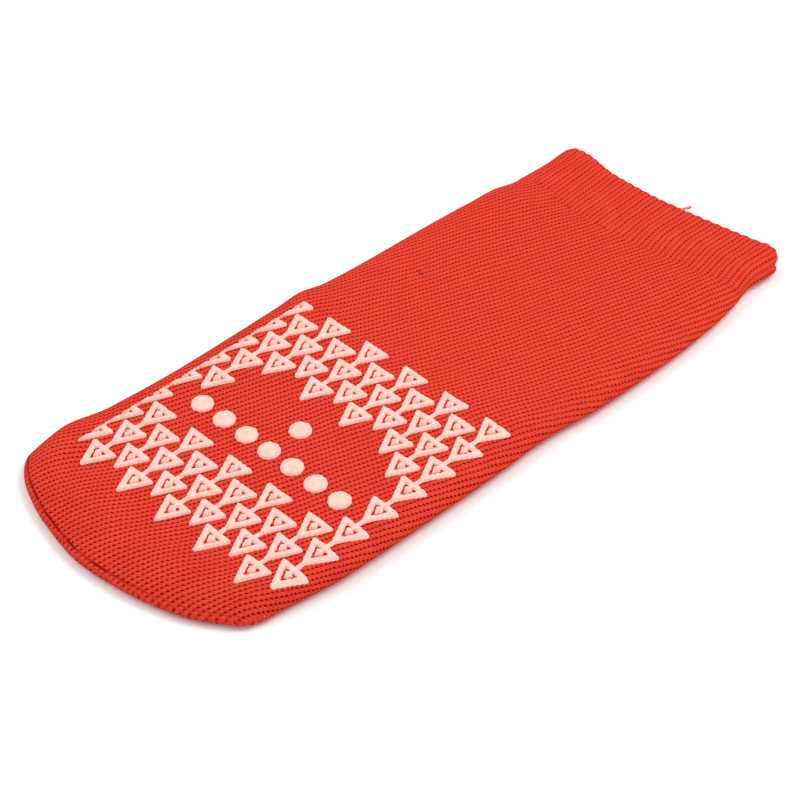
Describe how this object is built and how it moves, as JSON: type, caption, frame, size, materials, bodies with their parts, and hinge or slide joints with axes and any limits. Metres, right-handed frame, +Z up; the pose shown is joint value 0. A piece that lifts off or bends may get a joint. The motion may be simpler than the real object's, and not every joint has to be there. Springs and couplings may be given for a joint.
{
  "type": "slipper sock",
  "caption": "Empty knitted slipper sock lying flat, sole up, with a closed rounded toe, an open ribbed cuff and raised grip tread on its sole.",
  "frame": {"origin": "middle of the sock's box seen from above, on the floor under it", "axes": "+Y from the toe to the cuff, +Z up from the instep face to the sole face, +X to the right seen from above with the cuff away"},
  "size_m": [0.1036, 0.2304, 0.0083],
  "materials": {
    "knit": "fine plain knit, matt",
    "tread": "soft raised print, matt"
  },
  "bodies": {
    "root": {"sock_body": "knit", "tread_dot_1": "tread", "tread_dot_2": "tread", "tread_dot_3": "tread", "tread_dot_4": "tread", "tread_dot_5": "tread", "tread_dot_6": "tread", "tread_dot_7": "tread", "tread_dot_8": "tread", "tread_strip_01": "tread", "tread_strip_02": "tread", "tread_strip_03": "tread", "tread_strip_04": "tread", "tread_strip_05": "tread", "tread_strip_06": "tread", "tread_strip_07": "tread", "tread_strip_08": "tread", "tread_strip_09": "tread", "tread_strip_10": "tread", "tread_strip_11": "tread", "tread_strip_12": "tread", "tread_strip_13": "tread", "tread_strip_14": "tread", "tread_strip_15": "tread", "tread_strip_16": "tread", "tread_strip_17": "tread", "tread_strip_18": "tread", "tread_strip_19": "tread", "tread_strip_20": "tread"}
  },
  "joints": []
}
